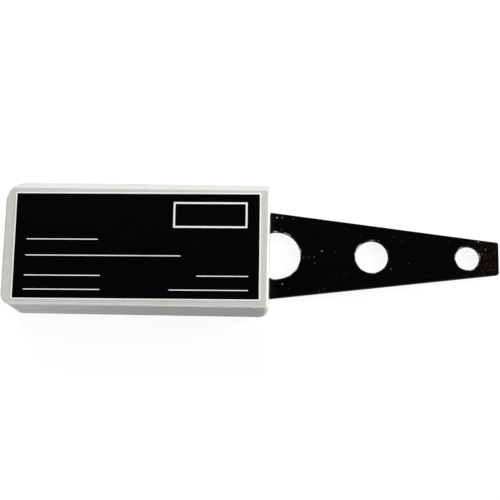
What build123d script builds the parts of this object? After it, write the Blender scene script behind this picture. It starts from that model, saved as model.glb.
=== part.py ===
from build123d import *
from collections import namedtuple
import os

# Hand-held degaussing wand. A moulded case holds a row of block magnets under a steel yoke, and a flat
# tapered handle plate runs into the case above its base cover.
# Millimetres. X runs from the nose of the case to the tip of the handle, Z from the base cover up to the
# labelled face. The origin is under the middle of the whole wand.

os.makedirs("parts", exist_ok=True)

Screw = namedtuple("Screw", "shank_radius head_radius head_depth")

# Overall sizes
overall_length = 276.7
case_length = 146.7
case_width = 70.0
case_height = 31.5

# Case shell, a tub that opens downwards
case_wall = 3.0
face_wall = 3.0
nose_upper_radius = 12.0
nose_lower_radius = 6.5
heel_corner_radius = 2.0
heel_foot_radius = 5.4
cavity_heel_radius = 1.0
upper_edge_bevel = 3.8
upper_bevel_softening = 1.0
lower_edge_radius = 1.0
end_edge_radius = 0.9
boss_radius = 3.3
boss_sink = 0.5
nose_boss_sink = 0.3
nose_lower_boss_sink = 0.9
nose_upper_boss_setback = 2.5
rib_thickness = 2.0
rib_foot_gap = 4.0
rib_clearance = 0.1
side_rib_shares = (0.16, 0.5, 0.84)
nose_rib_shares = (-0.22, 0.22)

# Base cover, let into the open side of the shell
cover_thickness = 2.0
cover_lip = 1.2
cover_clearance = 0.15
cover_edge_bevel = 0.3

# Handle plate
plate_thickness = 3.2
tip_width = 18.5
tip_corner_radius = 1.3
tang_clearance = 1.4
tang_shoulder = 0.6
tang_corner_radius = 3.0
tang_bay_length = 45.8
bay_clearance = 0.3
slot_clearance = 0.25
root_hole_offset = 4.0
tip_hole_margin = 17.6
hole_diameters = (27.3, 18.5, 13.5)
rim_bevel = 0.6
plate_edge_bevel = 0.35

# Magnets, spacers and the carrier that frames them
magnet_count = 4
magnet_edge_radius = 0.8
spacer_thickness = 2.0
pocket_clearance = 0.1
pocket_corner_radius = 0.6
nose_gap = 6.9
side_gap = 3.6
carrier_side_wall = 2.9
carrier_nose_wall = 6.0
carrier_tail_wall = 2.6
carrier_corner_radius = 1.5
block_inset = 2.5
block_hole_margin = 6.55
block_corner_radius = 2.0

# Yoke and the pad above it
yoke_thickness = 6.35
yoke_lap = 8.0
yoke_edge_bevel = 0.5
pad_space = 1.1
pad_clearance = 0.1
pad_inset = 3.0

# Face label
label_thickness = 0.25
label_corner_radius = 0.8
label_nose_margin = 5.55
label_heel_margin = 4.45
label_upper_margin = 5.95
label_lower_margin = 3.55
label_skew_degrees = 0.49

# Screws and inserts. A grip share is the part of what the screw enters that its thread takes up.
cover_screw = Screw(shank_radius=1.5, head_radius=2.8, head_depth=1.3)
yoke_screw = Screw(shank_radius=2.0, head_radius=3.7, head_depth=1.7)
handle_screw = Screw(shank_radius=2.5, head_radius=4.6, head_depth=2.1)
head_clearance = 0.1
shank_clearance = 0.3
thread_clearance = 0.05
screw_tip_gap = 1.5
insert_radius = 2.3
insert_length = 6.0
yoke_grip_share = 0.4
handle_grip_share = 0.68
handle_screw_x_share = 0.6
handle_screw_y_share = 0.32

# Places along X
case_start = -overall_length / 2
case_end = case_start + case_length
case_middle = (case_start + case_end) / 2
handle_tip = overall_length / 2
carrier_start = case_start + case_wall + nose_gap
frame_end = case_end - tang_bay_length
pocket_start = carrier_start + carrier_nose_wall
pocket_end = frame_end - carrier_tail_wall
tang_start = frame_end + bay_clearance
plate_root = case_end + slot_clearance
first_hole = case_end + root_hole_offset
hole_pitch = (handle_tip - tip_hole_margin - first_hole) / (len(hole_diameters) - 1)
hole_places = [first_hole + index * hole_pitch for index in range(len(hole_diameters))]
block_end = first_hole - hole_diameters[0] / 2 - block_hole_margin

# Widths, lengths and heights inside the case
cavity_top = case_height - face_wall
cavity_width = case_width - 2 * case_wall
boss_inset = case_wall + boss_radius - boss_sink
frame_length = frame_end - carrier_start
carrier_width = cavity_width - 2 * side_gap
pocket_width = carrier_width - 2 * carrier_side_wall
block_length = block_end - frame_end
plate_bottom = cover_thickness
plate_top = plate_bottom + plate_thickness
tang_width = case_width - 2 * (boss_inset + boss_radius + tang_clearance)
root_width = tang_width + 2 * tang_shoulder
block_width = tang_width - 2 * block_inset
yoke_top = cavity_top - pad_space
yoke_bottom = yoke_top - yoke_thickness
magnet_height = yoke_bottom - cover_thickness
magnet_length = pocket_width - 2 * pocket_clearance
row_length = pocket_end - pocket_start - 2 * pocket_clearance
magnet_width = (row_length - (magnet_count - 1) * spacer_thickness) / magnet_count
magnet_pitch = magnet_width + spacer_thickness

# Thread lengths below each fastened piece
cover_grip = insert_length
yoke_grip = yoke_grip_share * magnet_height
handle_grip = handle_grip_share * (yoke_bottom - plate_top)

# Bosses and screws in plan
nose_boss_x = case_start + case_wall + boss_radius - nose_boss_sink
nose_lower_boss_y = -case_width / 2 + case_wall + boss_radius - nose_lower_boss_sink
nose_upper_boss_y = case_width / 2 - nose_upper_radius + nose_upper_boss_setback
nose_boss_places = [(nose_boss_x, nose_lower_boss_y), (nose_boss_x, nose_upper_boss_y)]
heel_boss_y = case_width / 2 - boss_inset
heel_boss_places = [(case_end - boss_inset, side * heel_boss_y) for side in (-1, 1)]
boss_places = nose_boss_places + heel_boss_places
handle_screw_x = frame_end + handle_screw_x_share * block_length
handle_screw_places = [(handle_screw_x, side * handle_screw_y_share * block_width) for side in (-1, 1)]
yoke_screw_places = [(carrier_start + carrier_nose_wall / 2, 0), (frame_end + yoke_lap / 2, 0)]


def write(piece, name):
    """Label a finished piece and write its STEP file."""
    piece.part.label = name
    export_step(piece.part, f"parts/{name}.step")


def case_outline(inset, heel_radius):
    """Plan outline of the case, drawn inside its outer face by the inset."""
    with BuildSketch() as outline:
        with Locations((case_middle, 0)):
            Rectangle(case_length - 2 * inset, case_width - 2 * inset)
        fillet(outline.vertices().group_by(Axis.X)[-1], heel_radius)
        fillet(outline.vertices().group_by(Axis.X)[0].sort_by(Axis.Y)[0], nose_lower_radius - inset)
        fillet(outline.vertices().group_by(Axis.X)[0].sort_by(Axis.Y)[-1], nose_upper_radius - inset)
    return outline.sketch


def on_upper_bevel(corner):
    """True for the two ends of the bevel in the section of the case, drawn with X across and Y up."""
    return corner.X > 0 and corner.Y > case_height / 2


def countersunk_screw(screw, length):
    """A countersunk screw with its head flush in the XY plane and its shank along +Z."""
    with BuildPart() as blank:
        with BuildSketch(Plane.XZ):
            with BuildLine():
                Polyline(
                    (0, 0),
                    (screw.head_radius, 0),
                    (screw.shank_radius, screw.head_depth),
                    (screw.shank_radius, length),
                    (0, length),
                    close=True,
                )
            make_face()
        revolve(axis=Axis.Z)
    return blank.part


def screw_holes(places, height, screw, depth, facing_down=True):
    """Countersunk clearance holes whose heads open at a height, on the lower or the upper side."""
    turn = 180 if facing_down else 0
    sink_slope = (screw.head_radius - screw.shank_radius) / screw.head_depth
    sink_radius = screw.head_radius + 2 * head_clearance
    sink_depth = (sink_radius - screw.shank_radius) / sink_slope
    align = (Align.CENTER, Align.CENTER, Align.MAX)
    with Locations(*[Location((x, y, height), (turn, 0, 0)) for x, y in places]):
        Cylinder(screw.shank_radius + shank_clearance, depth, align=align, mode=Mode.SUBTRACT)
        Cone(screw.shank_radius, sink_radius, sink_depth, align=align, mode=Mode.SUBTRACT)


# Case shell: one moulding. Its long upper edge has a wide soft bevel, and its long lower edge is nearly
# crisp. The nose corner beside the bevel is the rounder one, and the heel corners sharpen towards the face.
with BuildPart() as outer_block:
    with BuildSketch():
        add(case_outline(0, heel_foot_radius))
    with BuildSketch(Plane.XY.offset(case_height)):
        add(case_outline(0, heel_corner_radius))
    loft(ruled=True)
    fillet(outer_block.faces().sort_by(Axis.Z)[-1].edges(), end_edge_radius)

with BuildPart() as case_shell:
    with BuildSketch(Plane.YZ.offset(case_start)) as section:
        with Locations((0, case_height / 2)):
            Rectangle(case_width, case_height)
        chamfer(section.vertices().group_by(Axis.Y)[-1].sort_by(Axis.X)[-1], upper_edge_bevel)
        fillet(section.vertices().filter_by(on_upper_bevel), upper_bevel_softening)
        fillet(section.vertices().group_by(Axis.Y)[-1].sort_by(Axis.X)[0], lower_edge_radius)
    extrude(amount=case_length)
    add(outer_block.part, mode=Mode.INTERSECT)

    # Cavity, and the ledge that the base cover rests on
    with BuildSketch():
        add(case_outline(case_wall, cavity_heel_radius))
    extrude(amount=cavity_top, mode=Mode.SUBTRACT)
    with BuildSketch():
        add(case_outline(cover_lip, heel_foot_radius - cover_lip))
    extrude(amount=cover_thickness, mode=Mode.SUBTRACT)

    # Screw bosses that grow out of the walls
    with BuildSketch(Plane.XY.offset(cover_thickness)):
        with Locations(*boss_places):
            Circle(boss_radius)
    extrude(amount=cavity_top - cover_thickness)
    with BuildSketch(Plane.XY.offset(cover_thickness)):
        with Locations(*boss_places):
            Circle(insert_radius)
    extrude(amount=insert_length + screw_tip_gap, mode=Mode.SUBTRACT)

    # Ribs that centre the magnet carrier between the long walls and off the nose
    rib_bottom = cover_thickness + rib_foot_gap
    side_rib_length = side_gap - rib_clearance + case_wall / 2
    nose_rib_length = nose_gap - rib_clearance + case_wall / 2
    with BuildSketch(Plane.XY.offset(rib_bottom)):
        for share in side_rib_shares:
            for side in (-1, 1):
                rib_y = side * (case_width - case_wall - side_rib_length) / 2
                with Locations((carrier_start + share * frame_length, rib_y)):
                    Rectangle(rib_thickness, side_rib_length)
        for share in nose_rib_shares:
            with Locations((case_start + (case_wall + nose_rib_length) / 2, share * case_width)):
                Rectangle(nose_rib_length, rib_thickness)
    extrude(amount=cavity_top - rib_bottom)

    # Slot in the heel wall, open downwards, for the tang of the handle
    with BuildSketch():
        with Locations((case_end - case_wall / 2, 0)):
            Rectangle(case_wall + 2 * slot_clearance, tang_width + 2 * slot_clearance)
    extrude(amount=plate_top + slot_clearance, mode=Mode.SUBTRACT)
write(case_shell, "case_shell")

# Base cover: the working face. A tab at the heel closes the slot under the handle.
with BuildPart() as base_cover:
    cover_inset = cover_lip + cover_clearance
    with BuildSketch():
        add(case_outline(cover_inset, heel_foot_radius - cover_inset))
        with Locations((case_end, 0)):
            Rectangle(case_end - block_end, tang_width, align=(Align.MAX, Align.CENTER))
    extrude(amount=cover_thickness)
    chamfer(base_cover.faces().sort_by(Axis.Z)[0].edges(), cover_edge_bevel)
    screw_holes(boss_places, 0, cover_screw, cover_thickness)
write(base_cover, "base_cover")

# Cover screws, countersunk and a little below the working face
cover_screw_blank = countersunk_screw(cover_screw, cover_thickness + cover_grip)
with BuildPart() as cover_screws:
    with Locations(*[(x, y, head_clearance) for x, y in boss_places]):
        add(cover_screw_blank)
write(cover_screws, "cover_screws")

# Brass inserts pressed into the bosses
with BuildPart() as cover_inserts:
    with BuildSketch(Plane.XY.offset(cover_thickness)):
        with Locations(*boss_places):
            Circle(insert_radius)
            Circle(cover_screw.shank_radius + thread_clearance, mode=Mode.SUBTRACT)
    extrude(amount=insert_length)
write(cover_inserts, "cover_inserts")

# Face label, stuck on a little askew
with BuildPart() as face_label:
    label_length = case_length - label_nose_margin - label_heel_margin
    label_width = case_width - label_upper_margin - label_lower_margin
    label_x = case_middle + (label_nose_margin - label_heel_margin) / 2
    label_y = (label_lower_margin - label_upper_margin) / 2
    with BuildSketch(Plane.XY.offset(case_height)):
        with Locations((label_x, label_y)):
            RectangleRounded(label_length, label_width, label_corner_radius, rotation=label_skew_degrees)
    extrude(amount=label_thickness)
write(face_label, "face_label")

# Handle plate: flat stock, tapered from the case to the tip, with three holes that get smaller
with BuildPart() as handle_plate:
    with BuildSketch(Plane.XY.offset(plate_bottom)) as plate_outline:
        with BuildLine():
            Polyline(
                (tang_start, -tang_width / 2),
                (plate_root, -tang_width / 2),
                (plate_root, -root_width / 2),
                (handle_tip, -tip_width / 2),
                (handle_tip, tip_width / 2),
                (plate_root, root_width / 2),
                (plate_root, tang_width / 2),
                (tang_start, tang_width / 2),
                close=True,
            )
        make_face()
        fillet(plate_outline.vertices().group_by(Axis.X)[-1], tip_corner_radius)
        fillet(plate_outline.vertices().group_by(Axis.X)[0], tang_corner_radius)
    extrude(amount=plate_thickness)
    chamfer(handle_plate.faces().filter_by(Axis.Z).edges(), plate_edge_bevel)
    for place, diameter in zip(hole_places, hole_diameters):
        with BuildSketch(Plane.XY.offset(plate_bottom)):
            with Locations((place, 0)):
                Circle(diameter / 2)
        extrude(amount=plate_thickness, mode=Mode.SUBTRACT)
        wall = handle_plate.faces().filter_by(GeomType.CYLINDER).sort_by_distance((place, 0, plate_bottom))[0]
        chamfer(wall.edges().filter_by(GeomType.CIRCLE), rim_bevel)
    screw_holes(handle_screw_places, plate_bottom, handle_screw, plate_thickness)
write(handle_plate, "handle_plate")

# Handle screws, up through the tang into the block of the carrier
handle_screw_blank = countersunk_screw(handle_screw, plate_thickness + handle_grip)
with BuildPart() as handle_screws:
    with Locations(*[(x, y, plate_bottom + head_clearance) for x, y in handle_screw_places]):
        add(handle_screw_blank)
write(handle_screws, "handle_screws")

# Magnet carrier: an aluminium frame round the magnets, with a solid block that the handle bolts to
with BuildPart() as magnet_carrier:
    with BuildSketch(Plane.XY.offset(cover_thickness)) as frame_outline:
        with Locations((carrier_start, 0)):
            Rectangle(frame_length, carrier_width, align=(Align.MIN, Align.CENTER))
        fillet(frame_outline.vertices(), carrier_corner_radius)
        with Locations(((pocket_start + pocket_end) / 2, 0)):
            RectangleRounded(
                pocket_end - pocket_start, pocket_width, pocket_corner_radius, mode=Mode.SUBTRACT
            )
    extrude(amount=magnet_height)
    with BuildSketch(Plane.XY.offset(plate_top)) as block_outline:
        with Locations((pocket_end, 0)):
            Rectangle(block_end - pocket_end, block_width, align=(Align.MIN, Align.CENTER))
        fillet(block_outline.vertices().group_by(Axis.X)[-1], block_corner_radius)
    extrude(amount=yoke_bottom - plate_top)
    with BuildSketch(Plane.XY.offset(plate_top)):
        with Locations(*handle_screw_places):
            Circle(handle_screw.shank_radius + thread_clearance)
    extrude(amount=handle_grip + screw_tip_gap, mode=Mode.SUBTRACT)
    with BuildSketch(Plane.XY.offset(yoke_bottom)):
        with Locations(*yoke_screw_places):
            Circle(yoke_screw.shank_radius + thread_clearance)
    extrude(amount=-(yoke_grip + screw_tip_gap), mode=Mode.SUBTRACT)
write(magnet_carrier, "magnet_carrier")

# Block magnets, set side by side with alternating poles
for index in range(magnet_count):
    magnet_start = pocket_start + pocket_clearance + index * magnet_pitch
    with BuildPart() as magnet:
        with BuildSketch(Plane.XY.offset(cover_thickness)):
            with Locations((magnet_start + magnet_width / 2, 0)):
                Rectangle(magnet_width, magnet_length)
        extrude(amount=magnet_height)
        fillet(magnet.edges().filter_by(Axis.Z), magnet_edge_radius)
    write(magnet, f"magnet_{index + 1}")

# Spacer strips between the magnets
for index in range(magnet_count - 1):
    spacer_start = pocket_start + pocket_clearance + magnet_width + index * magnet_pitch
    with BuildPart() as spacer:
        with BuildSketch(Plane.XY.offset(cover_thickness)):
            with Locations((spacer_start + spacer_thickness / 2, 0)):
                Rectangle(spacer_thickness, magnet_length)
        extrude(amount=magnet_height)
    write(spacer, f"pole_spacer_{index + 1}")

# Back yoke: mild steel over the magnets, with a narrower lap that screws to the block
with BuildPart() as back_yoke:
    with BuildSketch(Plane.XY.offset(yoke_bottom)):
        with Locations((carrier_start, 0)):
            Rectangle(frame_length, carrier_width, align=(Align.MIN, Align.CENTER))
        with Locations((frame_end, 0)):
            Rectangle(yoke_lap, block_width, align=(Align.MIN, Align.CENTER))
    extrude(amount=yoke_thickness)
    chamfer(back_yoke.faces().sort_by(Axis.Z)[-1].edges(), yoke_edge_bevel)
    screw_holes(yoke_screw_places, yoke_top, yoke_screw, yoke_thickness, facing_down=False)
write(back_yoke, "back_yoke")

# Yoke screws, down through the yoke into the carrier
yoke_screw_blank = countersunk_screw(yoke_screw, yoke_thickness + yoke_grip)
with BuildPart() as yoke_screws:
    with Locations(*[Location((x, y, yoke_top - head_clearance), (180, 0, 0)) for x, y in yoke_screw_places]):
        add(yoke_screw_blank)
write(yoke_screws, "yoke_screws")

# Foam pad that takes up the play between the yoke and the face of the shell
with BuildPart() as foam_pad:
    with BuildSketch(Plane.XY.offset(yoke_top)):
        with Locations((carrier_start + pad_inset, 0)):
            Rectangle(
                frame_length - 2 * pad_inset,
                carrier_width - 2 * pad_inset,
                align=(Align.MIN, Align.CENTER),
            )
    extrude(amount=pad_space - pad_clearance)
write(foam_pad, "foam_pad")
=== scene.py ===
import math

import bmesh
import bpy
from mathutils import Matrix, Vector


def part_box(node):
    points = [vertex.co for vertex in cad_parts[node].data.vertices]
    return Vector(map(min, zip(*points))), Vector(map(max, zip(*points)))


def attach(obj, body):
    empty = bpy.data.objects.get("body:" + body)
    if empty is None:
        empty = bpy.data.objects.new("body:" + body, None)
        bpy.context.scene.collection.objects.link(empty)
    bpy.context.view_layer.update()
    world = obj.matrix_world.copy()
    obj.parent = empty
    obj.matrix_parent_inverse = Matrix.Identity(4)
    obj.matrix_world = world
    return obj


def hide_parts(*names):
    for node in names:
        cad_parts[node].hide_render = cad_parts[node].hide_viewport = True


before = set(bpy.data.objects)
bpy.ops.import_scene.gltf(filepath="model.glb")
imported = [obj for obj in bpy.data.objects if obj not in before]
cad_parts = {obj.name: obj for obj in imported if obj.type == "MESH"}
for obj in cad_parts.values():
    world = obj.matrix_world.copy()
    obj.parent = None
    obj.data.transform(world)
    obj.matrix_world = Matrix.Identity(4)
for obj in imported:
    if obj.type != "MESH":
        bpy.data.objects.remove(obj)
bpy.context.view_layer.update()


# Camera. It stands over the lower long side of the case, a little towards the handle, and looks down on
# the label from the photograph's viewing angle. Place, turn and lens come from fitting the outline.
camera_place = Vector((0.018688, -0.130536, 0.643430))
camera_tilt = math.radians(11.7987)
camera_yaw = math.radians(1.9349)
camera_roll = math.radians(1.2544)
camera_sensor = 36.0
camera_lens = 82.144

camera_data = bpy.data.cameras.new("camera")
camera_data.sensor_width = camera_sensor
camera_data.lens = camera_lens
camera = bpy.data.objects.new("camera", camera_data)
turn = Matrix.Rotation(camera_yaw, 4, "Y") @ Matrix.Rotation(camera_tilt, 4, "X")
turn = turn @ Matrix.Rotation(camera_roll, 4, "Z")
camera.matrix_world = Matrix.Translation(camera_place) @ turn
scene = bpy.context.scene
scene.collection.objects.link(camera)
scene.camera = camera
scene.view_settings.view_transform = "Standard"


# Sky. A plain white tent: white to the eye and in reflections, and dimmer as a light, so that the lamps
# shape the case.
sky_light = 0.18
white = (1.0, 1.0, 1.0, 1.0)


def add_node(tree, kind, inputs=None, to=None, **settings):
    """Adds a node. Settings are its properties. Inputs are plain values, or nodes or sockets to link from,
    or a list of nodes. A socket given as to takes the node's first output."""
    made = tree.nodes.new(kind)
    for name, value in settings.items():
        setattr(made, name, value)
    for key, given in (inputs or {}).items():
        for value in given if isinstance(given, list) else [given]:
            if isinstance(value, bpy.types.Node):
                value = next(socket for socket in value.outputs if socket.enabled)
            if isinstance(value, bpy.types.NodeSocket):
                tree.links.new(value, made.inputs[key])
            else:
                made.inputs[key].default_value = value
    if to:
        tree.links.new(next(socket for socket in made.outputs if socket.enabled), to)
    return made


def seen_ray(tree):
    """1 for rays that see a surface straight, in a reflection or through glass, and 0 for its light."""
    path = add_node(tree, "ShaderNodeLightPath").outputs
    direct = add_node(
        tree,
        "ShaderNodeMath",
        {0: path["Is Camera Ray"], 1: path["Is Glossy Ray"]},
        operation="MAXIMUM",
    )
    return add_node(tree, "ShaderNodeMath", {0: direct, 1: path["Is Transmission Ray"]}, operation="MAXIMUM")


sky = bpy.data.worlds.new("white tent")
sky.use_nodes = True
sky_tree = sky.node_tree
sky_tree.nodes.clear()
sky_strength = add_node(sky_tree, "ShaderNodeMapRange", {"Value": seen_ray(sky_tree), "To Min": sky_light})
sky_glow = add_node(sky_tree, "ShaderNodeBackground", {"Color": white, "Strength": sky_strength})
add_node(sky_tree, "ShaderNodeOutputWorld", {"Surface": sky_glow})
scene.world = sky


# Table. A matt white sheet just under the working face, lifted to white where it is looked at, so that
# only the soft shadow of the case shows on it.
mm = 0.001
half_table = 3.0
table_drop = 0.1 * mm
table_grey = (0.15, 0.15, 0.15, 1.0)
table_lift = 0.89
square_corners = [(-1, -1), (1, -1), (1, 1), (-1, 1)]

table_mesh = bpy.data.meshes.new("white_table")
table_mesh.from_pydata(
    [(x * half_table, y * half_table, -table_drop) for x, y in square_corners],
    [],
    [(0, 1, 2, 3)],
)
table = bpy.data.objects.new("white_table", table_mesh)
scene.collection.objects.link(table)
table_paper = bpy.data.materials.new("matt white paper")
table_paper.use_nodes = True
paper_tree = table_paper.node_tree
paper_tree.nodes.clear()
paper = add_node(paper_tree, "ShaderNodeBsdfDiffuse", {"Color": table_grey})
paper_lift = add_node(
    paper_tree,
    "ShaderNodeMapRange",
    {"Value": seen_ray(paper_tree), "To Min": 0.0, "To Max": table_lift},
)
paper_glow = add_node(paper_tree, "ShaderNodeEmission", {"Strength": paper_lift})
paper_sum = add_node(paper_tree, "ShaderNodeAddShader", {0: paper, 1: paper_glow})
add_node(paper_tree, "ShaderNodeOutputMaterial", {"Surface": paper_sum})
table_mesh.materials.append(table_paper)


# Black card. It hangs over the table out of view, and shows only in reflections, where it keeps the
# label and the black coat of the handle black when they are seen from above.
half_card = Vector((2.1, 1.7, 0.0))
card_centre = Vector((-0.02, 0.3, 1.3))
black = (0.0, 0.0, 0.0, 1.0)

card_mesh = bpy.data.meshes.new("black_card")
card_mesh.from_pydata(
    [card_centre + Vector((x, y, 0)) * half_card for x, y in reversed(square_corners)],
    [],
    [(0, 1, 2, 3)],
)
card = bpy.data.objects.new("black_card", card_mesh)
scene.collection.objects.link(card)
card_felt = bpy.data.materials.new("black felt")
card_felt.use_nodes = True
felt_tree = card_felt.node_tree
felt_tree.nodes.clear()
felt = add_node(felt_tree, "ShaderNodeBsdfDiffuse", {"Color": black})
add_node(felt_tree, "ShaderNodeOutputMaterial", {"Surface": felt})
card_mesh.materials.append(card_felt)
card.visible_camera = False
card.visible_diffuse = False
card.visible_shadow = False


# Lamps. One soft box low behind the upper long edge, one low beyond the handle, and a small low one that
# brightens the lower wall towards the nose.
soft_boxes = {
    "back_soft_box": {"towards": (-0.25, 0.87, 0.42), "distance": 1.2, "size": 0.8, "watts": 13.2},
    "side_soft_box": {"towards": (0.91, 0.12, 0.40), "distance": 1.2, "size": 0.8, "watts": 19.0},
    "low_soft_box": {"towards": (-0.80, -0.55, 0.22), "distance": 0.22, "size": 0.10, "watts": 0.07},
}
lamp_aim = Vector((-0.03, 0.0, 0.015))
for name, lamp in soft_boxes.items():
    direction = Vector(lamp["towards"]).normalized()
    lamp_data = bpy.data.lights.new(name, "AREA")
    lamp_data.size = lamp["size"]
    lamp_data.energy = lamp["watts"]
    lamp_object = bpy.data.objects.new(name, lamp_data)
    lamp_object.location = lamp_aim + direction * lamp["distance"]
    lamp_object.rotation_euler = direction.to_track_quat("Z", "Y").to_euler()
    scene.collection.objects.link(lamp_object)


# Magnets. Four neodymium blocks with alternating poles, sintered, ground and nickel plated. They are
# pressed side by side into the carrier.
magnet_nodes = ["magnet_1", "magnet_2", "magnet_3", "magnet_4"]
nickel_hex = "#C3BEB3"
nickel_dark_hex = "#A49D90"
cloud_mm = 6.0
cloud_limits = {"From Min": 0.4, "From Max": 0.75, "To Max": 0.6}
grinding_mark_mm = 0.25
grinding_stretch = 40.0
grinding_depth = 0.004 * mm
grinding_strength = 0.5
nickel_roughness = (0.2, 0.36)
noise_spread = {"From Min": 0.3, "From Max": 0.7}


def linear(hex_colour):
    """An sRGB hex value as the linear colour that the shaders take."""
    channels = [int(hex_colour[start : start + 2], 16) / 255 for start in (1, 3, 5)]
    bent = [c / 12.92 if c <= 0.04045 else ((c + 0.055) / 1.055) ** 2.4 for c in channels]
    return (*bent, 1.0)


def per_metre(feature_mm):
    """Pattern scale that makes one feature as wide as this many millimetres."""
    return 1000 / feature_mm


def start_finish(name, **shader_values):
    """A new material with one principled shader. Returns the material, its tree, the shader and place."""
    material = bpy.data.materials.new(name)
    material.use_nodes = True
    tree = material.node_tree
    tree.nodes.clear()
    values = {key.replace("_", " "): value for key, value in shader_values.items()}
    shader = add_node(tree, "ShaderNodeBsdfPrincipled", values)
    add_node(tree, "ShaderNodeOutputMaterial", {"Surface": shader})
    return material, tree, shader.inputs, add_node(tree, "ShaderNodeTexCoord").outputs["Object"]


def shaded(tree, colour, shade_hex, pattern, limits, to=None):
    """Blends a colour into a second shade as a pattern passes between its limits."""
    share = add_node(
        tree,
        "ShaderNodeMapRange",
        {"Value": pattern, **limits},
        interpolation_type="SMOOTHSTEP",
    )
    colours = {0: share, 6: colour, 7: linear(shade_hex)}
    return add_node(tree, "ShaderNodeMix", colours, to=to, data_type="RGBA")


def textured(tree, shader, gloss_pattern, roughness, relief_pattern, depth, strength):
    """Lets one pattern drive the roughness between two values, and another raise the surface."""
    add_node(
        tree,
        "ShaderNodeMapRange",
        {"Value": gloss_pattern, **noise_spread, "To Min": roughness[0], "To Max": roughness[1]},
        to=shader["Roughness"],
        interpolation_type="SMOOTHSTEP",
    )
    relief = {"Height": relief_pattern, "Distance": depth, "Strength": strength}
    add_node(tree, "ShaderNodeBump", relief, to=shader["Normal"])


def dress(node_names, material):
    """Gives CAD nodes their finish."""
    for name in node_names:
        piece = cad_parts[name]
        if not piece.material_slots:
            piece.data.materials.append(material)
        for material_slot in piece.material_slots:
            material_slot.material = material


# Nickel plating: bright and slightly warm, with soft clouds in its gloss and fine grinding marks.
nickel, tree, shader, place = start_finish("nickel plating", Metallic=1.0)
clouds = add_node(
    tree,
    "ShaderNodeTexNoise",
    {"Vector": place, "Scale": per_metre(cloud_mm), "Detail": 4.0},
)
drawn_out = add_node(
    tree,
    "ShaderNodeMapping",
    {"Vector": place, "Scale": (1 / grinding_stretch, 1.0, 1.0)},
)
marks = add_node(tree, "ShaderNodeTexNoise", {"Vector": drawn_out, "Scale": per_metre(grinding_mark_mm)})
shaded(tree, linear(nickel_hex), nickel_dark_hex, clouds, cloud_limits, to=shader["Base Color"])
textured(tree, shader, clouds, nickel_roughness, marks, grinding_depth, grinding_strength)
dress(magnet_nodes, nickel)


# Spacer strips and magnet carrier. Both are aluminium: the strips are cut from flat bar, and the frame
# with its handle block is milled, so cutter marks run across it.
aluminium_nodes = ["pole_spacer_1", "pole_spacer_2", "pole_spacer_3", "magnet_carrier"]
aluminium_hex = "#CFD1D2"
aluminium_dull_hex = "#A9ACAE"
cutter_step_mm = 0.4
cutter_wander_mm = 3.0
cutter_depth = 0.01 * mm
cutter_strength = 0.4
handling_mm = 9.0
handling_limits = {"From Min": 0.45, "From Max": 0.8}
aluminium_roughness = (0.28, 0.45)

# Milled aluminium: pale and cool, with close cutter lines and duller handled patches.
milled, tree, shader, place = start_finish("milled aluminium", Metallic=1.0)
cutter_lines = add_node(
    tree,
    "ShaderNodeTexWave",
    {
        "Vector": place,
        "Scale": per_metre(cutter_step_mm) / (2 * math.pi),
        "Distortion": 0.6,
        "Detail Scale": per_metre(cutter_wander_mm),
    },
    bands_direction="X",
).outputs["Fac"]
handled = add_node(
    tree,
    "ShaderNodeTexNoise",
    {"Vector": place, "Scale": per_metre(handling_mm), "Detail": 5.0},
)
aluminium_colour = linear(aluminium_hex)
shaded(tree, aluminium_colour, aluminium_dull_hex, handled, handling_limits, to=shader["Base Color"])
textured(tree, shader, handled, aluminium_roughness, cutter_lines, cutter_depth, cutter_strength)
dress(aluminium_nodes, milled)


# Back yoke. A bar of mild steel, surface ground along its length and left plain under a film of oil. It
# is screwed down on the carrier over the magnets.
steel_hex = "#8E8F90"
steel_oil_hex = "#6F675B"
streak_mm = 0.3
streak_stretch = 60.0
streak_depth = 0.006 * mm
streak_strength = 0.6
stain_mm = 14.0
stain_limits = {"From Min": 0.55, "From Max": 0.75, "To Max": 0.7}
steel_roughness = (0.3, 0.5)

# Ground mild steel: grey, with long grinding streaks and a few brown oil stains.
ground_steel, tree, shader, place = start_finish("ground mild steel", Metallic=1.0)
drawn_out = add_node(
    tree,
    "ShaderNodeMapping",
    {"Vector": place, "Scale": (1 / streak_stretch, 1.0, 1.0)},
)
streaks = add_node(
    tree,
    "ShaderNodeTexNoise",
    {"Vector": drawn_out, "Scale": per_metre(streak_mm), "Detail": 3.0},
)
stains = add_node(
    tree,
    "ShaderNodeTexNoise",
    {"Vector": place, "Scale": per_metre(stain_mm), "Detail": 4.0},
)
shaded(tree, linear(steel_hex), steel_oil_hex, stains, stain_limits, to=shader["Base Color"])
textured(tree, shader, streaks, steel_roughness, streaks, streak_depth, streak_strength)
dress(["back_yoke"], ground_steel)


# Yoke screws. Two countersunk machine screws in zinc plated steel, with cross recesses, driven down
# through the yoke into the carrier.
zinc_hex = "#B9BDC1"
zinc_warm_hex = "#A8A593"
tint_mm = 2.0
tint_limits = {"From Min": 0.45, "From Max": 0.7, "To Max": 0.7}
bit_scuff_mm = 0.2
bit_scuff_stretch = 6.0
bit_scuff_depth = 0.006 * mm
bit_scuff_strength = 0.5
zinc_roughness = (0.24, 0.42)
yoke_screw_low, yoke_screw_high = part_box("yoke_screws")
yoke_screw = {
    "Shank Radius": 2.0 * mm,
    "Head Radius": 3.7 * mm,
    "Head Depth": 1.7 * mm,
    "Length": yoke_screw_high.z - yoke_screw_low.z,
    "Thread Pitch": 0.7 * mm,
}
head_sides = 48
core_sides = 24
thread_steps = 20
ridge_sides = 3
core_share_of_shank = 0.84
ridge_share_of_shank = 0.12
overlap_share_of_depth = 0.5
recess_length_share_of_head = 1.15
recess_width_share_of_head = 0.24
recess_depth_share_of_depth = 1.5
reach_share_of_head = 2.1
head_down = (0.0, 0.0, 0.0)
head_up = (math.pi, 0.0, 0.0)

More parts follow.
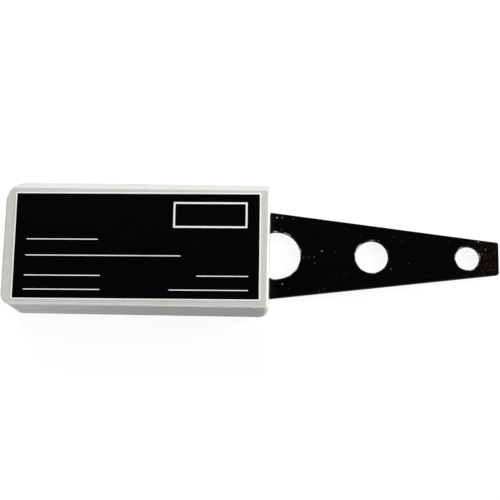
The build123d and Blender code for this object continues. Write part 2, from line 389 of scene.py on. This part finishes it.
# Zinc plating: silvery with a faint yellow cast in places, and fine scuffs from the driver's bit.
zinc, tree, shader, place = start_finish("zinc plated steel", Metallic=1.0)
tint = add_node(
    tree,
    "ShaderNodeTexNoise",
    {"Vector": place, "Scale": per_metre(tint_mm), "Detail": 3.0},
)
drawn_out = add_node(
    tree,
    "ShaderNodeMapping",
    {"Vector": place, "Scale": (1 / bit_scuff_stretch, 1.0, 1.0)},
)
bit_scuffs = add_node(
    tree,
    "ShaderNodeTexNoise",
    {"Vector": drawn_out, "Scale": per_metre(bit_scuff_mm)},
)
shaded(tree, linear(zinc_hex), zinc_warm_hex, tint, tint_limits, to=shader["Base Color"])
textured(tree, shader, bit_scuffs, zinc_roughness, bit_scuffs, bit_scuff_depth, bit_scuff_strength)


def screw_tree(material):
    """Node tree that sets a countersunk, cross-recessed screw with a thread on each point."""
    tree = bpy.data.node_groups.new("countersunk screws", "GeometryNodeTree")
    tree.interface.new_socket("Geometry", in_out="INPUT", socket_type="NodeSocketGeometry")
    for name in ("Shank Radius", "Head Radius", "Head Depth", "Length", "Thread Pitch"):
        tree.interface.new_socket(name, in_out="INPUT", socket_type="NodeSocketFloat")
    tree.interface.new_socket("Turn", in_out="INPUT", socket_type="NodeSocketVector")
    tree.interface.new_socket("Geometry", in_out="OUTPUT", socket_type="NodeSocketGeometry")
    given = tree.nodes.new("NodeGroupInput").outputs

    # Sizes that follow from the given ones, each from a size above it and a share or a second size
    worked_out = {
        "Core Radius": ("MULTIPLY", "Shank Radius", core_share_of_shank),
        "Core Lift": ("MULTIPLY", "Head Depth", overlap_share_of_depth),
        "Core Length": ("SUBTRACT", "Length", "Core Lift"),
        "Recess Length": ("MULTIPLY", "Head Radius", recess_length_share_of_head),
        "Recess Width": ("MULTIPLY", "Head Radius", recess_width_share_of_head),
        "Recess Depth": ("MULTIPLY", "Head Depth", recess_depth_share_of_depth),
        "Ridge Radius": ("MULTIPLY", "Shank Radius", ridge_share_of_shank),
        "Ridge Span": ("MULTIPLY", "Ridge Radius", 2.0),
        "Helix Radius": ("SUBTRACT", "Shank Radius", "Ridge Radius"),
        "Helix Lift": ("ADD", "Head Depth", "Ridge Radius"),
        "Below Head": ("SUBTRACT", "Length", "Head Depth"),
        "Helix Height": ("SUBTRACT", "Below Head", "Ridge Span"),
        "Helix Turns": ("DIVIDE", "Helix Height", "Thread Pitch"),
    }
    size = {socket.name: socket for socket in given if socket.type == "VALUE"}
    for name, (operation, first, second) in worked_out.items():
        terms = {0: size[first], 1: size.get(second, second)}
        size[name] = add_node(tree, "ShaderNodeMath", terms, operation=operation)

    # Blank: a cone for the head that runs into a cylinder for the core of the thread
    head = add_node(
        tree,
        "GeometryNodeMeshCone",
        {
            "Vertices": head_sides,
            "Radius Bottom": size["Head Radius"],
            "Radius Top": size["Shank Radius"],
            "Depth": size["Head Depth"],
        },
    )
    core = add_node(
        tree,
        "GeometryNodeMeshCone",
        {
            "Vertices": core_sides,
            "Radius Bottom": size["Core Radius"],
            "Radius Top": size["Core Radius"],
            "Depth": size["Core Length"],
        },
    )
    core_lift = add_node(tree, "ShaderNodeCombineXYZ", {"Z": size["Core Lift"]})
    core = add_node(tree, "GeometryNodeTransform", {"Geometry": core, "Translation": core_lift})
    blank = add_node(tree, "GeometryNodeMeshBoolean", {"Mesh 2": [head, core]}, operation="UNION")

    # Cross recess: two crossed bars cut out of the head
    bar_sides = {"X": size["Recess Length"], "Y": size["Recess Width"], "Z": size["Recess Depth"]}
    bar_size = add_node(tree, "ShaderNodeCombineXYZ", bar_sides)
    bar = add_node(tree, "GeometryNodeMeshCube", {"Size": bar_size})
    second_bar = add_node(
        tree,
        "GeometryNodeTransform",
        {"Geometry": bar, "Rotation": (0.0, 0.0, math.pi / 2)},
    )
    recessed = add_node(
        tree,
        "GeometryNodeMeshBoolean",
        {"Mesh 1": blank, "Mesh 2": [bar, second_bar]},
        operation="DIFFERENCE",
    )

    # Thread: a triangular ridge swept along a helix from under the head to the tip
    helix = add_node(
        tree,
        "GeometryNodeCurveSpiral",
        {
            "Resolution": thread_steps,
            "Rotations": size["Helix Turns"],
            "Start Radius": size["Helix Radius"],
            "End Radius": size["Helix Radius"],
            "Height": size["Helix Height"],
        },
    )
    ridge = add_node(
        tree,
        "GeometryNodeCurvePrimitiveCircle",
        {"Resolution": ridge_sides, "Radius": size["Ridge Radius"]},
    )
    thread = add_node(
        tree,
        "GeometryNodeCurveToMesh",
        {"Curve": helix, "Profile Curve": ridge, "Fill Caps": True},
    )
    helix_lift = add_node(tree, "ShaderNodeCombineXYZ", {"Z": size["Helix Lift"]})
    thread = add_node(tree, "GeometryNodeTransform", {"Geometry": thread, "Translation": helix_lift})

    # One screw on each point, turned over where it is driven from above
    screw = add_node(tree, "GeometryNodeJoinGeometry", {"Geometry": [recessed, thread]})
    placed = add_node(
        tree,
        "GeometryNodeInstanceOnPoints",
        {
            "Points": given["Geometry"],
            "Instance": screw,
            "Rotation": add_node(tree, "FunctionNodeEulerToRotation", {"Euler": given["Turn"]}),
        },
    )
    real = add_node(tree, "GeometryNodeRealizeInstances", {"Geometry": placed})
    covered = add_node(tree, "GeometryNodeSetMaterial", {"Geometry": real, "Material": material})
    add_node(tree, "NodeGroupOutput", {"Geometry": covered})
    return tree


def screw_places(node_name, head_radius, height):
    """Middle of each screw of a CAD node, at the height of its head."""
    groups = []
    reach = reach_share_of_head * head_radius
    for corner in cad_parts[node_name].data.vertices:
        near = [group for group in groups if (group[0].xy - corner.co.xy).length < reach]
        if near:
            near[0].append(corner.co.copy())
        else:
            groups.append([corner.co.copy()])
    middles = []
    for group in groups:
        across = [(min(co[axis] for co in group) + max(co[axis] for co in group)) / 2 for axis in (0, 1)]
        middles.append((across[0], across[1], height))
    return middles


def fit_screws(node_name, screw, height, turn):
    """Sets a screw at each place of a CAD node's screws, as one plain mesh in that node's place."""
    piece_name = f"{node_name}_cross_head"
    seeds = bpy.data.meshes.new(piece_name)
    seeds.from_pydata(screw_places(node_name, screw["Head Radius"], height), [], [])
    piece = bpy.data.objects.new(piece_name, seeds)
    scene.collection.objects.link(piece)
    modifier = piece.modifiers.new("screws", "NODES")
    modifier.node_group = countersunk_screws
    given = {**screw, "Turn": turn}
    for item in countersunk_screws.interface.items_tree:
        if item.name in given:
            modifier[item.identifier] = given[item.name]
    bpy.context.view_layer.update()
    evaluated = piece.evaluated_get(bpy.context.evaluated_depsgraph_get())
    finished = bpy.data.meshes.new_from_object(evaluated)
    piece.modifiers.clear()
    piece.data = finished
    bpy.data.meshes.remove(seeds)
    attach(piece, "root")
    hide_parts(node_name)


countersunk_screws = screw_tree(zinc)
fit_screws("yoke_screws", yoke_screw, yoke_screw_high.z, head_up)


# Foam pad. A strip of closed-cell foam, die cut and laid on the yoke, which the face of the case
# presses down so that nothing rattles.
foam_hex = "#1E1E20"
foam_worn_hex = "#333336"
foam_cell_mm = 0.5
foam_cell_depth = 0.15 * mm
foam_patch_mm = 5.0
foam_patch_limits = {"From Min": 0.4, "From Max": 0.7}

# Closed-cell foam: charcoal and quite matt, with cells of about half a millimetre.
foam, tree, shader, place = start_finish("closed-cell foam", Roughness=0.92)
cells = add_node(tree, "ShaderNodeTexVoronoi", {"Vector": place, "Scale": per_metre(foam_cell_mm)})
foam_patches = add_node(tree, "ShaderNodeTexNoise", {"Vector": place, "Scale": per_metre(foam_patch_mm)})
shaded(tree, linear(foam_hex), foam_worn_hex, foam_patches, foam_patch_limits, to=shader["Base Color"])
cell_relief = {"Height": cells, "Distance": foam_cell_depth, "Strength": 0.8}
add_node(tree, "ShaderNodeBump", cell_relief, to=shader["Normal"])
dress(["foam_pad"], foam)


# Handle plate. Flat aluminium, cut to a taper, drilled and powder coated black. The coat is rubbed along
# its edges, has painted glints at the hole rims and pale specks that are partly chips and dust and partly
# painted glints, and is worn brownish near the tip.
coat_hex = "#040404"
coat_worn_hex = "#2B201A"
# Pale specks: partly dust and chips, partly painted glints
speck_and_glint_hex = "#C2BEB8"
# Painted glint on the rims of the holes
rim_glint_hex = "#B4B4B2"
orange_peel_mm = 0.9
orange_peel_depth = 0.02 * mm
coat_gloss = {**noise_spread, "To Min": 0.15, "To Max": 0.24}
cut_edge_limits = {"From Min": 0.9, "From Max": 0.99, "To Min": 0.9, "To Max": 0.0}
wear_mm = 1.4
wear_limits = {"From Min": 0.44, "From Max": 0.68, "To Max": 0.7}
tip_wear_starts = 24 * mm
tip_wear_full = 3.6 * mm
falling = {"To Min": 1.0, "To Max": 0.0}
speck_pitch_mm = 3.2
speck_cluster_mm = 22.0
speck_edge_mm = 0.7
speck_limits = {
    "spot": {"From Min": 0.1, "From Max": 0.2, **falling},
    "edge": {"From Min": 0.4, "From Max": 0.5},
    "strength": {"From Min": 0.55, "From Max": 1.0, "To Max": 0.7},
    "cluster": {"From Min": 0.45, "From Max": 0.7, "To Min": 0.05},
}
rim_patch_mm = 5.0
rim_patch_limits = {"From Min": 0.5, "From Max": 0.62, "To Max": 0.9}
rim_glint_width = 0.48 * mm
rim_fade_width = 0.66 * mm
hole_rims = [(12.35 * mm, 13.65 * mm), (66.55 * mm, 9.25 * mm), (120.75 * mm, 6.75 * mm)]
plate_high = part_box("handle_plate")[1]

# Black powder coat: near black and half gloss, with an orange-peel skin. Pale specks, partly dust and chips
# and partly painted glints of the coat's grain, are sparse and uneven, the rims of the holes carry painted
# glints in short stretches, the tip is worn brownish, and the coat is thin and dull on cut edges.
powder_coat, tree, shader, place = start_finish("black powder coat", IOR=1.35)
along = add_node(tree, "ShaderNodeSeparateXYZ", {"Vector": place}).outputs
tip_wear = add_node(
    tree,
    "ShaderNodeMapRange",
    {
        "Value": along["X"],
        "From Min": plate_high.x - tip_wear_starts,
        "From Max": plate_high.x - tip_wear_full,
    },
    interpolation_type="SMOOTHSTEP",
)
wear_pattern = add_node(
    tree,
    "ShaderNodeTexNoise",
    {"Vector": place, "Scale": per_metre(wear_mm), "Detail": 6.0},
)
wear_patches = add_node(
    tree,
    "ShaderNodeMapRange",
    {"Value": wear_pattern, **wear_limits},
    interpolation_type="SMOOTHSTEP",
)
worn_tip = add_node(tree, "ShaderNodeMath", {0: tip_wear, 1: wear_patches}, operation="MULTIPLY")
coat_colour = add_node(
    tree,
    "ShaderNodeMix",
    {0: worn_tip, 6: linear(coat_hex), 7: linear(coat_worn_hex)},
    data_type="RGBA",
)

# Specks, partly dust and chips and partly painted glints of the coat's grain: one to a cell at most,
# ragged, of mixed strength, and crowded in clusters and at the tip
speck_cells = add_node(
    tree,
    "ShaderNodeTexVoronoi",
    {"Vector": place, "Scale": per_metre(speck_pitch_mm), "Randomness": 1.0},
).outputs
speck_edges = add_node(
    tree,
    "ShaderNodeTexNoise",
    {"Vector": place, "Scale": per_metre(speck_edge_mm), "Detail": 3.0},
)
speck_clusters = add_node(
    tree,
    "ShaderNodeTexNoise",
    {"Vector": place, "Scale": per_metre(speck_cluster_mm), "Detail": 3.0},
)
speck_patterns = {
    "spot": speck_cells["Distance"],
    "edge": speck_edges,
    "strength": speck_cells["Color"],
    "cluster": speck_clusters,
}
speck = {
    name: add_node(
        tree,
        "ShaderNodeMapRange",
        {"Value": pattern, **speck_limits[name]},
        interpolation_type="SMOOTHSTEP",
    )
    for name, pattern in speck_patterns.items()
}
crowd = add_node(tree, "ShaderNodeMath", {0: speck["cluster"], 1: tip_wear}, operation="MAXIMUM")
speck_share = speck["spot"]
for factor in (speck["edge"], speck["strength"], crowd):
    speck_share = add_node(tree, "ShaderNodeMath", {0: speck_share, 1: factor}, operation="MULTIPLY")
coat_colour = add_node(
    tree,
    "ShaderNodeMix",
    {0: speck_share, 6: coat_colour, 7: linear(speck_and_glint_hex)},
    data_type="RGBA",
)

# Rims: a painted glint on a ring round each hole, about as wide as its bevel, where the patches fall
rim_noise = add_node(
    tree,
    "ShaderNodeTexNoise",
    {"Vector": place, "Scale": per_metre(rim_patch_mm), "Detail": 2.0},
)
rim_patches = add_node(
    tree,
    "ShaderNodeMapRange",
    {"Value": rim_noise, **rim_patch_limits},
    interpolation_type="SMOOTHSTEP",
)
for hole_x, hole_radius in hole_rims:
    from_middle = add_node(
        tree,
        "ShaderNodeVectorMath",
        {0: place, 1: (hole_x, 0.0, plate_high.z)},
        operation="DISTANCE",
    )
    on_rim = add_node(
        tree,
        "ShaderNodeMapRange",
        {
            "Value": from_middle,
            "From Min": hole_radius + rim_glint_width,
            "From Max": hole_radius + rim_fade_width,
            **falling,
        },
        interpolation_type="SMOOTHSTEP",
    )
    rim_glint = add_node(tree, "ShaderNodeMath", {0: on_rim, 1: rim_patches}, operation="MULTIPLY")
    coat_colour = add_node(
        tree,
        "ShaderNodeMix",
        {0: rim_glint, 6: coat_colour, 7: linear(rim_glint_hex)},
        data_type="RGBA",
    )
tree.links.new(coat_colour.outputs[2], shader["Base Color"])

# Gloss: half gloss that varies with the orange peel, and dull wherever the surface isn't level
peel = add_node(
    tree,
    "ShaderNodeTexNoise",
    {"Vector": place, "Scale": per_metre(orange_peel_mm), "Detail": 3.0},
)
peel_gloss = add_node(
    tree,
    "ShaderNodeMapRange",
    {"Value": peel, **coat_gloss},
    interpolation_type="SMOOTHSTEP",
)
facing = add_node(tree, "ShaderNodeNewGeometry").outputs["Normal"]
upright = add_node(tree, "ShaderNodeSeparateXYZ", {"Vector": facing}).outputs["Z"]
level = add_node(tree, "ShaderNodeMath", {0: upright}, operation="ABSOLUTE")
cut_edge = add_node(
    tree,
    "ShaderNodeMapRange",
    {"Value": level, **cut_edge_limits},
    interpolation_type="SMOOTHSTEP",
)
add_node(tree, "ShaderNodeMath", {0: peel_gloss, 1: cut_edge}, to=shader["Roughness"], operation="MAXIMUM")
peel_relief = {"Height": peel, "Distance": orange_peel_depth, "Strength": 0.3}
add_node(tree, "ShaderNodeBump", peel_relief, to=shader["Normal"])
dress(["handle_plate"], powder_coat)


# Handle screws. Two larger countersunk screws of the same zinc plated steel, driven up through the
# tang of the handle into the block of the carrier.
handle_screw_low, handle_screw_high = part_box("handle_screws")
handle_screw = {
    "Shank Radius": 2.5 * mm,
    "Head Radius": 4.6 * mm,
    "Head Depth": 2.1 * mm,
    "Length": handle_screw_high.z - handle_screw_low.z,
    "Thread Pitch": 0.8 * mm,
}
fit_screws("handle_screws", handle_screw, handle_screw_low.z, head_down)


# Case shell and base cover. Both are injection moulded in light grey ABS with a fine satin grain. The
# cover is let into the underside of the shell, where it is the working face.
case_hex = "#C9CAC4"
case_yellowed_hex = "#C6C6B6"
case_side_hex = "#C7C8C7"
case_grime_hex = "#A3A29B"
# Painted highlight for the lower long edge and the heel edge
case_edge_highlight_hex = "#EDEDE8"
# Painted shade of a small dent in the lower edge
dent_shade_hex = "#6E6E69"
yellowing_mm = 30.0
yellowing_limits = {"From Min": 0.45, "From Max": 0.7, "To Max": 0.8}
rub_mark_mm = 1.8
rub_mark_stretch = 1.6
rub_mark_limits = {"From Min": 0.45, "From Max": 0.7, "To Max": 0.15}
scuff_mm = 2.2
scuff_stretch = 10.0
scuff_limits = {"From Min": 0.52, "From Max": 0.72}
scuff_strengths = {"To Min": 0.35, "To Max": 0.05}
grain_mm = 0.35
grain_depth = 0.02 * mm
grain_strength = 0.3
case_roughness = (0.54, 0.4)
edge_highlight_share = 0.7
dent_place = (-1.45 * mm, -34.8 * mm, 31.0 * mm)
dent_radius = 0.8 * mm
edge_reach = 1.6 * mm
edge_round = 0.6 * mm
case_low, case_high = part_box("case_shell")
face_top = case_high.z
lower_edge = {"outward": (0.0, -1.0, 1.0), "reach": face_top - case_low.y}
heel_edge = {"outward": (1.0, 0.0, 1.0), "reach": face_top + case_high.x}

# Moulded ABS: satin light grey. The face is a little yellowed in patches where light has reached it and
# the walls aren't, fine rub marks mottle it, long faint scuffs run along the walls, a painted highlight
# lightens the lower long edge and the heel edge, and a painted shade marks a small dent in the lower
# edge near the handle.
moulded_abs, tree, shader, place = start_finish("moulded ABS")
yellowing = add_node(
    tree,
    "ShaderNodeTexNoise",
    {"Vector": place, "Scale": per_metre(yellowing_mm), "Detail": 3.0},
)
case_colour = shaded(tree, linear(case_hex), case_yellowed_hex, yellowing, yellowing_limits)

# Walls: their own shade below the face
height = add_node(tree, "ShaderNodeSeparateXYZ", {"Vector": place}).outputs["Z"]
on_face = {"Value": height, "From Min": face_top - 2 * edge_reach, "From Max": face_top - edge_round}
on_wall = add_node(
    tree,
    "ShaderNodeMapRange",
    {**on_face, **falling},
    interpolation_type="SMOOTHSTEP",
)
case_colour = add_node(
    tree,
    "ShaderNodeMix",
    {0: on_wall, 6: case_colour, 7: linear(case_side_hex)},
    data_type="RGBA",
)

# Wear: rub marks all over, then scuffs that are strong on the walls and faint on the face
rubbed = add_node(
    tree,
    "ShaderNodeMapping",
    {"Vector": place, "Scale": (1 / rub_mark_stretch, 1.0, 1.0)},
)
rub_marks = add_node(
    tree,
    "ShaderNodeTexNoise",
    {"Vector": rubbed, "Scale": per_metre(rub_mark_mm), "Detail": 5.0},
)
case_colour = shaded(tree, case_colour, case_grime_hex, rub_marks, rub_mark_limits)
scuffed = add_node(
    tree,
    "ShaderNodeMapping",
    {"Vector": place, "Scale": (1 / scuff_stretch, 1 / scuff_stretch, 1.0)},
)
scuff_noise = add_node(
    tree,
    "ShaderNodeTexNoise",
    {"Vector": scuffed, "Scale": per_metre(scuff_mm), "Detail": 5.0},
)
scuffs = add_node(
    tree,
    "ShaderNodeMapRange",
    {"Value": scuff_noise, **scuff_limits},
    interpolation_type="SMOOTHSTEP",
)
scuff_strength = add_node(
    tree,
    "ShaderNodeMapRange",
    {**on_face, **scuff_strengths},
    interpolation_type="SMOOTHSTEP",
)
scuff_share = add_node(tree, "ShaderNodeMath", {0: scuffs, 1: scuff_strength}, operation="MULTIPLY")
case_colour = add_node(
    tree,
    "ShaderNodeMix",
    {0: scuff_share, 6: case_colour, 7: linear(case_grime_hex)},
    data_type="RGBA",
)

# Edges: a painted highlight on the lower long edge and the heel edge, where the surface reaches out furthest
for edge in (lower_edge, heel_edge):
    reach = add_node(tree, "ShaderNodeVectorMath", {0: place, 1: edge["outward"]}, operation="DOT_PRODUCT")
    edge_highlight_limits = {
        "From Min": edge["reach"] - edge_reach,
        "From Max": edge["reach"] - edge_round,
        "To Max": edge_highlight_share,
    }
    case_colour = shaded(tree, case_colour, case_edge_highlight_hex, reach, edge_highlight_limits)

# Dent: a painted shade, one dark spot for a small dent in the lower edge
from_dent = add_node(tree, "ShaderNodeVectorMath", {0: place, 1: dent_place}, operation="DISTANCE")
dent_shade = add_node(
    tree,
    "ShaderNodeMapRange",
    {"Value": from_dent, "From Min": dent_radius / 4, "From Max": dent_radius, **falling},
    interpolation_type="SMOOTHSTEP",
)
add_node(
    tree,
    "ShaderNodeMix",
    {0: dent_shade, 6: case_colour, 7: linear(dent_shade_hex)},
    to=shader["Base Color"],
    data_type="RGBA",
)
grain = add_node(tree, "ShaderNodeTexNoise", {"Vector": place, "Scale": per_metre(grain_mm)})
textured(tree, shader, rub_marks, case_roughness, grain, grain_depth, grain_strength)
dress(["case_shell", "base_cover"], moulded_abs)


# Cover inserts. Four threaded inserts, turned and knurled from brass bar. They are pressed hot into the
# bosses of the shell, so that the plastic flows into the knurl and holds them.
brass_hex = "#B8965A"
brass_dark_hex = "#8A6C3C"
tarnish_mm = 1.5
tarnish_limits = {"From Min": 0.4, "From Max": 0.7}
knurl_mm = 0.5
knurl_depth = 0.05 * mm
knurl_strength = 0.6
brass_roughness = (0.25, 0.4)

# Turned brass: yellow metal with a crossed knurl and darker tarnished patches.
brass, tree, shader, place = start_finish("turned brass", Metallic=1.0)
tarnish = add_node(
    tree,
    "ShaderNodeTexNoise",
    {"Vector": place, "Scale": per_metre(tarnish_mm), "Detail": 3.0},
)
knurl = add_node(
    tree,
    "ShaderNodeTexWave",
    {"Vector": place, "Scale": per_metre(knurl_mm) / (2 * math.pi)},
    bands_direction="DIAGONAL",
).outputs["Fac"]
shaded(tree, linear(brass_hex), brass_dark_hex, tarnish, tarnish_limits, to=shader["Base Color"])
textured(tree, shader, tarnish, brass_roughness, knurl, knurl_depth, knurl_strength)
dress(["cover_inserts"], brass)


# Cover screws. Four small countersunk screws of the same zinc plated steel, driven up through the corners
# of the base cover into the brass inserts. Their heads lie a little below the working face.
cover_screw_low, cover_screw_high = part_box("cover_screws")
cover_screw = {
    "Shank Radius": 1.5 * mm,
    "Head Radius": 2.8 * mm,
    "Head Depth": 1.3 * mm,
    "Length": cover_screw_high.z - cover_screw_low.z,
    "Thread Pitch": 0.5 * mm,
}
fit_screws("cover_screws", cover_screw, cover_screw_low.z, head_down)


# Face label. A sheet of pale polyester film, printed black but for a thin margin, with an empty white
# box and plain write-in lines. It is stuck on a little askew.
label_size = (136.7 * mm, 60.5 * mm)
label_turn = math.radians(0.49)
label_corner = 0.8 * mm
film_margin = 0.75 * mm
print_thickness = 0.015 * mm
line_width = 0.5 * mm
box_line_width = 1.0 * mm
box_left, box_right = 88.2 * mm, 129.2 * mm
box_top, box_bottom = 5.4 * mm, 20.0 * mm
write_in_lines = {
    "title": (7.4 * mm, 46.7 * mm, 27.0 * mm),
    "name": (7.1 * mm, 92.7 * mm, 36.1 * mm),
    "left_upper": (6.9 * mm, 48.7 * mm, 47.3 * mm),
    "left_lower": (6.7 * mm, 48.7 * mm, 55.1 * mm),
    "right_upper": (101.7 * mm, 130.0 * mm, 47.3 * mm),
    "right_lower": (86.7 * mm, 130.0 * mm, 55.1 * mm),
}
film_hex = "#FAFAF4"
film_dull_hex = "#E4E4DA"
film_wave_mm = 12.0
film_wave_depth = 0.05 * mm
film_wave_limits = {**noise_spread, "To Max": 0.4}
ink_hex = "#030303"
ink_scratch_hex = "#3A3A3A"
ink_roughness = (0.18, 0.25)
ink_grain_mm = 0.4
ink_grain_depth = 0.004 * mm
ink_grain_strength = 0.3
hair_mm = 0.5
hair_stretch = 30.0
hair_limits = {"From Min": 0.72, "From Max": 0.8, "To Max": 0.15}
white_ink_hex = "#F2F2F0"
white_ink_thin_hex = "#BDBDBA"
mesh_mark_mm = 0.5
mesh_mark_limits = {"From Min": 0.5, "From Max": 0.8, "To Max": 0.5}

label_low, label_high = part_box("face_label")
label_centre = (label_low + label_high) / 2
label_place = Matrix.Translation((label_centre.x, label_centre.y, 0.0))
label_place = label_place @ Matrix.Rotation(label_turn, 4, "Z")
film_top = label_high.z - 2 * print_thickness
black_top = label_high.z - print_thickness


def slab(name, outlines, bottom, top, material):
    """A thin printed or cut layer: closed outlines in the plane of the label, raised to a thickness."""
    shape = bmesh.new()
    for outline in outlines:
        face = shape.faces.new([shape.verts.new((x, y, bottom)) for x, y in outline])
        lifted = bmesh.ops.extrude_face_region(shape, geom=[face])["geom"]
        moved = [item for item in lifted if isinstance(item, bmesh.types.BMVert)]
        bmesh.ops.translate(shape, verts=moved, vec=(0, 0, top - bottom))
    bmesh.ops.recalc_face_normals(shape, faces=shape.faces)
    mesh = bpy.data.meshes.new(name)
    shape.transform(label_place)
    shape.to_mesh(mesh)
    shape.free()
    mesh.materials.append(material)
    piece = bpy.data.objects.new(name, mesh)
    scene.collection.objects.link(piece)
    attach(piece, "root")
    return piece


def rounded_outline(length, width, radius, steps=8):
    """Corner-rounded rectangle about the origin, as points that run anticlockwise."""
    points = []
    for quarter, (side_x, side_y) in enumerate([(1, 1), (-1, 1), (-1, -1), (1, -1)]):
        centre = (side_x * (length / 2 - radius), side_y * (width / 2 - radius))
        for step in range(steps + 1):
            angle = (quarter + step / steps) * math.pi / 2
            points.append((centre[0] + radius * math.cos(angle), centre[1] + radius * math.sin(angle)))
    return points


def bar_outline(left, right, top, bottom):
    """Rectangle measured from the upper left corner of the label."""
    x_left, x_right = left - label_size[0] / 2, right - label_size[0] / 2
    y_top, y_bottom = label_size[1] / 2 - top, label_size[1] / 2 - bottom
    return [(x_left, y_bottom), (x_right, y_bottom), (x_right, y_top), (x_left, y_top)]


# Polyester film: pale, smooth and half gloss, with a slightly uneven lie.
film, tree, shader, place = start_finish("polyester film", Roughness=0.34)
film_waves = add_node(tree, "ShaderNodeTexNoise", {"Vector": place, "Scale": per_metre(film_wave_mm)})
shaded(tree, linear(film_hex), film_dull_hex, film_waves, film_wave_limits, to=shader["Base Color"])
film_relief = {"Height": film_waves, "Distance": film_wave_depth, "Strength": 0.3}
add_node(tree, "ShaderNodeBump", film_relief, to=shader["Normal"])

# Screen-printed black ink: near black and satin, with a fine print grain and a few hair scratches.
black_ink, tree, shader, place = start_finish("black screen ink", IOR=1.4)
ink_grain = add_node(tree, "ShaderNodeTexNoise", {"Vector": place, "Scale": per_metre(ink_grain_mm)})
drawn_out = add_node(tree, "ShaderNodeMapping", {"Vector": place, "Scale": (1 / hair_stretch, 1.0, 1.0)})
hairs = add_node(tree, "ShaderNodeTexNoise", {"Vector": drawn_out, "Scale": per_metre(hair_mm)})
shaded(tree, linear(ink_hex), ink_scratch_hex, hairs, hair_limits, to=shader["Base Color"])
textured(tree, shader, ink_grain, ink_roughness, ink_grain, ink_grain_depth, ink_grain_strength)

# Screen-printed white ink: opaque and clean, a touch uneven where the mesh printed thin.
white_ink, tree, shader, place = start_finish("white screen ink", Roughness=0.4)
ink_cover = add_node(
    tree,
    "ShaderNodeTexNoise",
    {"Vector": place, "Scale": per_metre(mesh_mark_mm), "Detail": 3.0},
)
white_ink_colour = linear(white_ink_hex)
shaded(tree, white_ink_colour, white_ink_thin_hex, ink_cover, mesh_mark_limits, to=shader["Base Color"])

label_film = slab(
    "label_film",
    [rounded_outline(*label_size, label_corner)],
    label_low.z,
    film_top,
    film,
)
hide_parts("face_label")
black_size = (label_size[0] - 2 * film_margin, label_size[1] - 2 * film_margin)
slab(
    "label_black_print",
    [rounded_outline(*black_size, label_corner / 2)],
    film_top,
    black_top,
    black_ink,
)
inner_top, inner_bottom = box_top + box_line_width, box_bottom - box_line_width
box_frame = [
    bar_outline(box_left, box_right, box_top, inner_top),
    bar_outline(box_left, box_right, inner_bottom, box_bottom),
    bar_outline(box_left, box_left + box_line_width, inner_top, inner_bottom),
    bar_outline(box_right - box_line_width, box_right, inner_top, inner_bottom),
]
rules = [
    bar_outline(left, right, foot - line_width, foot)
    for left, right, foot in write_in_lines.values()
]
slab("label_white_print", box_frame + rules, black_top, label_high.z, white_ink)
